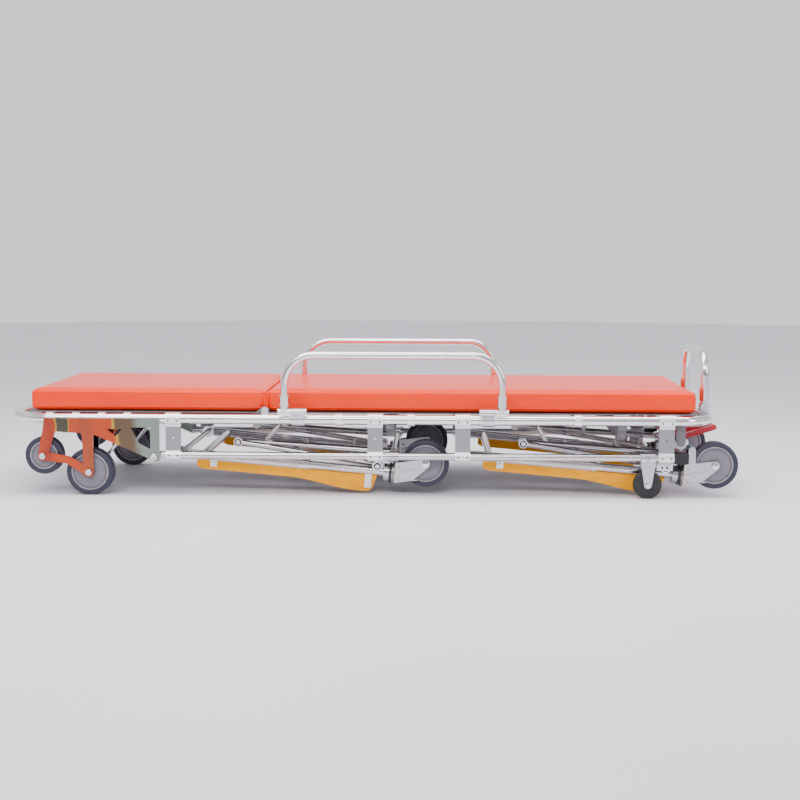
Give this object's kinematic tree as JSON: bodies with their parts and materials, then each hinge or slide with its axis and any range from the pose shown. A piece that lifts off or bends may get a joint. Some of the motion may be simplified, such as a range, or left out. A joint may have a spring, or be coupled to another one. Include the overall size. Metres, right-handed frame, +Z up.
{
  "type": "ambulance stretcher",
  "caption": "Wheeled ambulance stretcher folded low: tubular frame, split orange mattress, folding legs, side rails, push handle, castors and head end loading wheels.",
  "frame": {"origin": "on the ground, at the middle of the bounding box", "axes": "+X to the foot end along the length, +Z up, +Y to the patient's left"},
  "size_m": [1.944, 0.594, 0.386],
  "materials": {
    "polished_tube": "polished drawn tube",
    "drawn_aluminium": "drawn, satin",
    "post_aluminium": "blasted, matt",
    "cast_clamp": "polished casting",
    "grey_paint": "satin grey paint",
    "bright_steel": "bright steel",
    "black_plastic": "moulded, matt",
    "orange_bracket": "glossy orange-red metallic plate",
    "zinc_fork": "pressed steel, bright zinc",
    "orange_vinyl": "coated upholstery, soft gloss",
    "yellow_skid": "moulded sheet, semi-gloss",
    "grey_hub": "moulded wheel centre",
    "castor_tyre": "soft thermoplastic tread",
    "black_wheel": "solid black wheel",
    "teal_pedal": "moulded pedal",
    "red_grip": "dipped red coating"
  },
  "bodies": {
    "frame": {"upper_frame": "polished_tube", "lower_rails": "drawn_aluminium", "posts": "post_aluminium", "cross_members": "grey_paint", "pivot_shafts": "bright_steel", "shaft_lugs": "bright_steel", "rear_pivot_blocks": "black_plastic", "rail_clamps": "cast_clamp", "frame_clips": "post_aluminium", "head_bracket_right": "orange_bracket", "head_bracket_left": "orange_bracket", "wheel_axles": "bright_steel", "handle_sockets": "cast_clamp", "support_forks": "zinc_fork", "foot_deck": "grey_paint", "foot_cushion": "orange_vinyl", "backrest_lugs": "cast_clamp"},
    "backrest": {"backrest_frame": "drawn_aluminium", "backrest_deck": "grey_paint", "head_cushion": "orange_vinyl"},
    "side_rail_right": {"side_rail_right": "polished_tube"},
    "side_rail_left": {"side_rail_left": "polished_tube"},
    "push_handle": {"push_handle": "polished_tube"},
    "foot_lever_right": {"foot_lever_right": "red_grip"},
    "foot_lever_left": {"foot_lever_left": "red_grip"},
    "head_lever": {"head_lever": "red_grip"},
    "front_leg": {"front_leg": "drawn_aluminium", "front_skids": "yellow_skid", "front_housings": "bright_steel"},
    "front_upper_brace": {"front_upper_brace": "drawn_aluminium"},
    "front_lower_brace": {"front_lower_brace": "drawn_aluminium"},
    "fork_front_right": {"fork_front_right": "zinc_fork"},
    "castor_front_right": {"castor_hub_front_right": "grey_hub", "castor_tyre_front_right": "castor_tyre"},
    "fork_front_left": {"fork_front_left": "zinc_fork"},
    "castor_front_left": {"castor_hub_front_left": "grey_hub", "castor_tyre_front_left": "castor_tyre"},
    "rear_leg": {"rear_leg": "drawn_aluminium", "rear_skids": "yellow_skid", "rear_housings": "bright_steel"},
    "rear_upper_brace": {"rear_upper_brace": "drawn_aluminium"},
    "rear_lower_brace": {"rear_lower_brace": "drawn_aluminium"},
    "fork_rear_right": {"fork_rear_right": "zinc_fork"},
    "castor_rear_right": {"castor_hub_rear_right": "grey_hub", "castor_tyre_rear_right": "castor_tyre"},
    "brake_pedal_right": {"brake_pedal_right": "teal_pedal"},
    "fork_rear_left": {"fork_rear_left": "zinc_fork"},
    "castor_rear_left": {"castor_hub_rear_left": "grey_hub", "castor_tyre_rear_left": "castor_tyre"},
    "brake_pedal_left": {"brake_pedal_left": "teal_pedal"},
    "head_wheel_right": {"head_wheel_hub_right": "grey_hub", "head_wheel_tyre_right": "castor_tyre"},
    "loading_wheel_right": {"loading_wheel_hub_right": "grey_hub", "loading_wheel_tyre_right": "castor_tyre"},
    "support_wheel_right": {"support_wheel_right": "black_wheel"},
    "head_wheel_left": {"head_wheel_hub_left": "grey_hub", "head_wheel_tyre_left": "castor_tyre"},
    "loading_wheel_left": {"loading_wheel_hub_left": "grey_hub", "loading_wheel_tyre_left": "castor_tyre"},
    "support_wheel_left": {"support_wheel_left": "black_wheel"}
  },
  "joints": [
    {"name": "backrest_tilt", "type": "hinge", "parent": "frame", "child": "backrest", "pos_m": [-0.278, 0, 0.228], "axis": [0, 1, 0], "range_deg": [0, 75]},
    {"name": "side_rail_right_fold", "type": "hinge", "parent": "frame", "child": "side_rail_right", "pos_m": [0.06, -0.284, 0.226], "axis": [1, 0, 0], "range_deg": [0, 150]},
    {"name": "side_rail_left_fold", "type": "hinge", "parent": "frame", "child": "side_rail_left", "pos_m": [0.06, 0.284, 0.226], "axis": [1, 0, 0], "range_deg": [-150, 0]},
    {"name": "push_handle_fold", "type": "hinge", "parent": "frame", "child": "push_handle", "pos_m": [0.896, 0, 0.231], "axis": [0, 1, 0], "range_deg": [0, 90]},
    {"name": "foot_lever_right_pull", "type": "hinge", "parent": "frame", "child": "foot_lever_right", "pos_m": [0.817, -0.1015, 0.148], "axis": [0, 1, 0], "range_deg": [-6, 0]},
    {"name": "foot_lever_left_pull", "type": "hinge", "parent": "frame", "child": "foot_lever_left", "pos_m": [0.817, 0.1015, 0.148], "axis": [0, 1, 0], "range_deg": [-6, 0]},
    {"name": "head_lever_pull", "type": "hinge", "parent": "frame", "child": "head_lever", "pos_m": [-0.772, 0, 0.158], "axis": [0, 1, 0], "range_deg": [0, 8]},
    {"name": "front_leg_fold", "type": "hinge", "parent": "frame", "child": "front_leg", "pos_m": [-0.50906, 0, 0.107], "axis": [0, 1, 0], "range_deg": [0, 80]},
    {"name": "front_upper_brace_turn", "type": "hinge", "parent": "frame", "child": "front_upper_brace", "pos_m": [0.05994, 0, 0.107], "axis": [0, 1, 0], "range_deg": [-28, 0]},
    {"name": "front_lower_brace_turn", "type": "hinge", "parent": "front_leg", "child": "front_lower_brace", "pos_m": [0.01724, 0, 0.07601], "axis": [0, 1, 0], "range_deg": [0, 21]},
    {"name": "castor_front_right_swivel", "type": "hinge", "parent": "front_leg", "child": "fork_front_right", "pos_m": [0.06076, -0.222, 0.05715], "axis": [0.9962, 0, -0.0872], "range_deg": [-280, 0]},
    {"name": "castor_front_right_spin", "type": "hinge", "parent": "fork_front_right", "child": "castor_front_right", "pos_m": [0.1455, -0.222, 0.08487], "axis": [0, 1, 0], "continuous": true},
    {"name": "castor_front_left_swivel", "type": "hinge", "parent": "front_leg", "child": "fork_front_left", "pos_m": [0.06076, 0.222, 0.05715], "axis": [0.9962, 0, -0.0872], "range_deg": [0, 280]},
    {"name": "castor_front_left_spin", "type": "hinge", "parent": "fork_front_left", "child": "castor_front_left", "pos_m": [0.1455, 0.222, 0.08487], "axis": [0, 1, 0], "continuous": true},
    {"name": "rear_leg_fold", "type": "hinge", "parent": "frame", "child": "rear_leg", "pos_m": [0.25494, 0, 0.107], "axis": [0, 1, 0], "range_deg": [0, 80]},
    {"name": "rear_upper_brace_turn", "type": "hinge", "parent": "frame", "child": "rear_upper_brace", "pos_m": [0.82394, 0, 0.107], "axis": [0, 1, 0], "range_deg": [-28, 0]},
    {"name": "rear_lower_brace_turn", "type": "hinge", "parent": "rear_leg", "child": "rear_lower_brace", "pos_m": [0.78124, 0, 0.07601], "axis": [0, 1, 0], "range_deg": [0, 21]},
    {"name": "castor_rear_right_swivel", "type": "hinge", "parent": "rear_leg", "child": "fork_rear_right", "pos_m": [0.82476, -0.222, 0.05715], "axis": [0.9962, 0, -0.0872], "continuous": true},
    {"name": "castor_rear_right_spin", "type": "hinge", "parent": "fork_rear_right", "child": "castor_rear_right", "pos_m": [0.9095, -0.222, 0.08487], "axis": [0, 1, 0], "continuous": true},
    {"name": "brake_right_press", "type": "hinge", "parent": "fork_rear_right", "child": "brake_pedal_right", "pos_m": [0.84879, -0.222, 0.12531], "axis": [0, 1, 0], "range_deg": [-12, 0]},
    {"name": "castor_rear_left_swivel", "type": "hinge", "parent": "rear_leg", "child": "fork_rear_left", "pos_m": [0.82476, 0.222, 0.05715], "axis": [0.9962, 0, -0.0872], "continuous": true},
    {"name": "castor_rear_left_spin", "type": "hinge", "parent": "fork_rear_left", "child": "castor_rear_left", "pos_m": [0.9095, 0.222, 0.08487], "axis": [0, 1, 0], "continuous": true},
    {"name": "brake_left_press", "type": "hinge", "parent": "fork_rear_left", "child": "brake_pedal_left", "pos_m": [0.84879, 0.222, 0.12531], "axis": [0, 1, 0], "range_deg": [-12, 0]},
    {"name": "head_wheel_right_spin", "type": "hinge", "parent": "frame", "child": "head_wheel_right", "pos_m": [-0.744, -0.255, 0.0625], "axis": [0, 1, 0], "continuous": true},
    {"name": "loading_wheel_right_spin", "type": "hinge", "parent": "frame", "child": "loading_wheel_right", "pos_m": [-0.866, -0.255, 0.105], "axis": [0, 1, 0], "continuous": true},
    {"name": "support_wheel_right_spin", "type": "hinge", "parent": "frame", "child": "support_wheel_right", "pos_m": [0.729, -0.262, 0.0375], "axis": [0, 1, 0], "continuous": true},
    {"name": "head_wheel_left_spin", "type": "hinge", "parent": "frame", "child": "head_wheel_left", "pos_m": [-0.744, 0.255, 0.0625], "axis": [0, 1, 0], "continuous": true},
    {"name": "loading_wheel_left_spin", "type": "hinge", "parent": "frame", "child": "loading_wheel_left", "pos_m": [-0.866, 0.255, 0.105], "axis": [0, 1, 0], "continuous": true},
    {"name": "support_wheel_left_spin", "type": "hinge", "parent": "frame", "child": "support_wheel_left", "pos_m": [0.729, 0.262, 0.0375], "axis": [0, 1, 0], "continuous": true}
  ],
  "couplings": [
    {"joint": "front_upper_brace_turn", "follows": "front_leg_fold", "ratio": -0.33559},
    {"joint": "front_lower_brace_turn", "follows": "front_leg_fold", "ratio": 0.24998},
    {"joint": "rear_upper_brace_turn", "follows": "rear_leg_fold", "ratio": -0.33559},
    {"joint": "rear_lower_brace_turn", "follows": "rear_leg_fold", "ratio": 0.24998}
  ]
}
